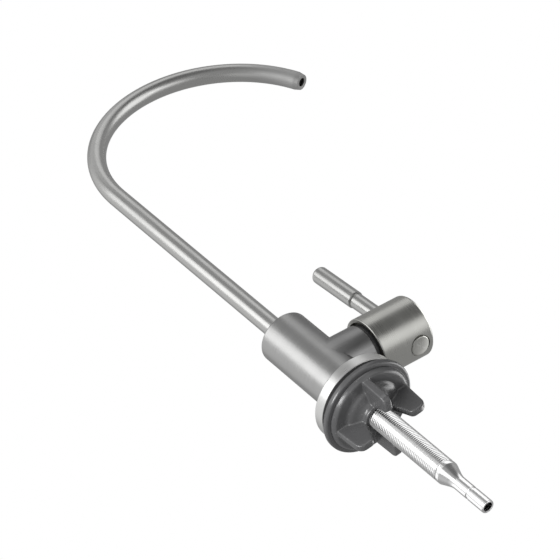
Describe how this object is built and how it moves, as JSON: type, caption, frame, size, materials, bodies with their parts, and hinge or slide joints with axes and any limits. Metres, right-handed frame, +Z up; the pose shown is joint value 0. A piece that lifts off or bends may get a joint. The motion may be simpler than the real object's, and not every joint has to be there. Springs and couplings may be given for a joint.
{
  "type": "reverse osmosis faucet",
  "caption": "Gooseneck drinking-water faucet: swivelling bent tube spout on a T-shaped body, quarter-turn side handle with a rod lever, deck base, threaded shank and wing nut.",
  "frame": {"origin": "On the shank's axis in the plane of the deck, at the underside of the base gasket.", "axes": "+Z points up along the shank and the spout's straight leg, +X along the handle branch and the spout's reach, +Y to the side."},
  "size_m": [0.1545, 0.0466, 0.3523],
  "materials": {
    "satin_body": "satin brushed",
    "satin_base": "light satin",
    "satin_tube": "satin",
    "bright_steel": "bright",
    "brass": "machined",
    "black_rubber": "matt",
    "black_plastic": "moulded",
    "white_nylon": "plain",
    "ceramic": "lapped"
  },
  "bodies": {
    "fixed": {"body": "satin_body", "base_plate": "satin_base", "base_gasket": "black_rubber", "shank": "bright_steel", "shank_seal": "black_rubber", "spout_washer": "white_nylon", "spout_gland": "satin_body", "cartridge_body": "brass", "cartridge_ring": "black_rubber", "seat_seal": "black_rubber", "fixed_disc": "ceramic", "glide_ring": "black_plastic"},
    "spout_assembly": {"spout": "satin_tube", "spout_ferrule": "brass", "spout_ring_lower": "black_rubber", "spout_ring_upper": "black_rubber"},
    "handle": {"handle_cap": "satin_body", "lever_rod": "satin_tube", "grub_screw": "bright_steel", "cap_plug": "satin_body", "spindle": "brass", "spindle_ring": "black_rubber", "moving_disc": "ceramic"},
    "clamp": {"clamp_washer": "black_plastic"},
    "nut": {"wing_nut": "black_plastic"}
  },
  "joints": [
    {"name": "spout_swivel", "type": "hinge", "parent": "fixed", "child": "spout_assembly", "pos_m": [0, 0, 0.05], "axis": [0, 0, 1], "continuous": true},
    {"name": "handle_turn", "type": "hinge", "parent": "fixed", "child": "handle", "pos_m": [0.03, 0, 0.0293], "axis": [-1, 0, 0], "range_deg": [0, 90]},
    {"name": "clamp_travel", "type": "slide", "parent": "fixed", "child": "clamp", "axis": [0, 0, -1], "range_m": [0, 0.038]},
    {"name": "nut_turn", "type": "hinge", "parent": "clamp", "child": "nut", "pos_m": [0, 0, -0.006], "axis": [0, 0, -1], "range_deg": [0, 12900]}
  ],
  "couplings": [
    {"joint": "clamp_travel", "follows": "nut_turn", "m_per_rad": 0.00016844}
  ]
}
